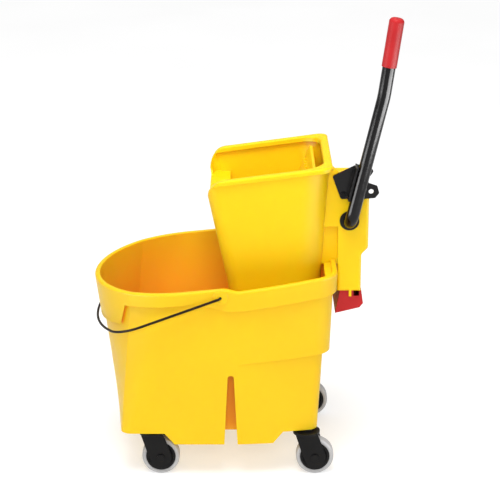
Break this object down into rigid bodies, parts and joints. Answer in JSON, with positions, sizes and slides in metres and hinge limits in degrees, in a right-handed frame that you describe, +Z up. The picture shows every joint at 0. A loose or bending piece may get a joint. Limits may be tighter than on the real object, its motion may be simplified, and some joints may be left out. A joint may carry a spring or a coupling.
{
  "type": "mop bucket with wringer",
  "caption": "Moulded mop bucket on swivel casters with a lift-off side-press wringer; pulling the long handle swings a ribbed plate that squeezes the mop.",
  "frame": {"origin": "on the floor, under the middle of the whole object's box", "axes": "+X from the pouring nose towards the wringer, +Y to the side away from the handle, +Z up"},
  "size_m": [0.603, 0.4208, 0.9174],
  "materials": {
    "yellow_plastic": "satin injection-moulded polypropylene",
    "red_plastic": "satin moulded plastic",
    "black_paint": "gloss black powder coat",
    "bail_steel": "dark coated wire",
    "black_steel": "satin black coat",
    "plain_steel": "bright zinc plate",
    "crank_steel": "black coated flat steel",
    "spring_steel": "oiled spring wire",
    "black_plastic": "satin moulded nylon",
    "pale_nylon": "natural nylon",
    "grey_rubber": "non-marking thermoplastic rubber"
  },
  "bodies": {
    "bucket": {"bucket_shell": "yellow_plastic", "caster_socket_front_near": "black_plastic", "caster_socket_front_far": "black_plastic", "caster_socket_rear_near": "black_plastic", "caster_socket_rear_far": "black_plastic"},
    "bail": {"bail_wire": "bail_steel"},
    "wringer": {"wringer_body": "yellow_plastic", "plate_hinge_pin": "plain_steel", "shaft_bush_near": "black_plastic", "shaft_bush_far": "black_plastic", "return_spring": "spring_steel", "stop_bracket": "black_paint", "bracket_bolts": "black_steel", "rear_foot": "red_plastic", "foot_screws": "plain_steel"},
    "handle": {"handle_tube": "black_paint", "handle_grip": "red_plastic", "shaft_end_cap": "black_plastic", "crank_arm_near": "crank_steel", "crank_arm_far": "crank_steel", "crank_pins": "plain_steel", "push_bar": "plain_steel", "push_sleeves": "pale_nylon"},
    "press_plate": {"press_plate": "yellow_plastic"},
    "caster_front_near": {"caster_fork_front_near": "black_steel", "caster_stem_front_near": "plain_steel", "wheel_axle_front_near": "black_steel"},
    "wheel_front_near": {"wheel_hub_front_near": "black_plastic", "wheel_tyre_front_near": "grey_rubber"},
    "caster_front_far": {"caster_fork_front_far": "black_steel", "caster_stem_front_far": "plain_steel", "wheel_axle_front_far": "black_steel"},
    "wheel_front_far": {"wheel_hub_front_far": "black_plastic", "wheel_tyre_front_far": "grey_rubber"},
    "caster_rear_near": {"caster_fork_rear_near": "black_steel", "caster_stem_rear_near": "plain_steel", "wheel_axle_rear_near": "black_steel"},
    "wheel_rear_near": {"wheel_hub_rear_near": "black_plastic", "wheel_tyre_rear_near": "grey_rubber"},
    "caster_rear_far": {"caster_fork_rear_far": "black_steel", "caster_stem_rear_far": "plain_steel", "wheel_axle_rear_far": "black_steel"},
    "wheel_rear_far": {"wheel_hub_rear_far": "black_plastic", "wheel_tyre_rear_far": "grey_rubber"}
  },
  "joints": [
    {"name": "wringer_lift", "type": "slide", "parent": "bucket", "child": "wringer", "axis": [0, 0, 1], "range_m": [0, 0.2]},
    {"name": "handle_press", "type": "hinge", "parent": "wringer", "child": "handle", "pos_m": [0.20781, 0, 0.5112], "axis": [0, 1, 0], "range_deg": [0, 65], "stiffness_Nm_per_rad": 3, "springref_deg": -34.38, "deforming": ["return_spring"]},
    {"name": "plate_swing", "type": "hinge", "parent": "wringer", "child": "press_plate", "pos_m": [0.05481, 0, 0.3442], "axis": [0, 1, 0], "range_deg": [-21.8, 0]},
    {"name": "bail_swing", "type": "hinge", "parent": "bucket", "child": "bail", "pos_m": [-0.04419, 0, 0.39134], "axis": [0, 1, 0], "range_deg": [-8, 104]},
    {"name": "swivel_front_near", "type": "hinge", "parent": "bucket", "child": "caster_front_near", "pos_m": [-0.18319, -0.14423, 0.095], "axis": [0, 0, 1], "continuous": true},
    {"name": "roll_front_near", "type": "hinge", "parent": "caster_front_near", "child": "wheel_front_near", "pos_m": [-0.16619, -0.14423, 0.0375], "axis": [0, 1, 0], "continuous": true},
    {"name": "swivel_front_far", "type": "hinge", "parent": "bucket", "child": "caster_front_far", "pos_m": [-0.18319, 0.14423, 0.095], "axis": [0, 0, 1], "continuous": true},
    {"name": "roll_front_far", "type": "hinge", "parent": "caster_front_far", "child": "wheel_front_far", "pos_m": [-0.16619, 0.14423, 0.0375], "axis": [0, 1, 0], "continuous": true},
    {"name": "swivel_rear_near", "type": "hinge", "parent": "bucket", "child": "caster_rear_near", "pos_m": [0.12581, -0.14423, 0.095], "axis": [0, 0, 1], "continuous": true},
    {"name": "roll_rear_near", "type": "hinge", "parent": "caster_rear_near", "child": "wheel_rear_near", "pos_m": [0.14281, -0.14423, 0.0375], "axis": [0, 1, 0], "continuous": true},
    {"name": "swivel_rear_far", "type": "hinge", "parent": "bucket", "child": "caster_rear_far", "pos_m": [0.12581, 0.14423, 0.095], "axis": [0, 0, 1], "continuous": true},
    {"name": "roll_rear_far", "type": "hinge", "parent": "caster_rear_far", "child": "wheel_rear_far", "pos_m": [0.14281, 0.14423, 0.0375], "axis": [0, 1, 0], "continuous": true}
  ],
  "couplings": [
    {"joint": "plate_swing", "follows": "handle_press", "ratio": -0.33272}
  ]
}
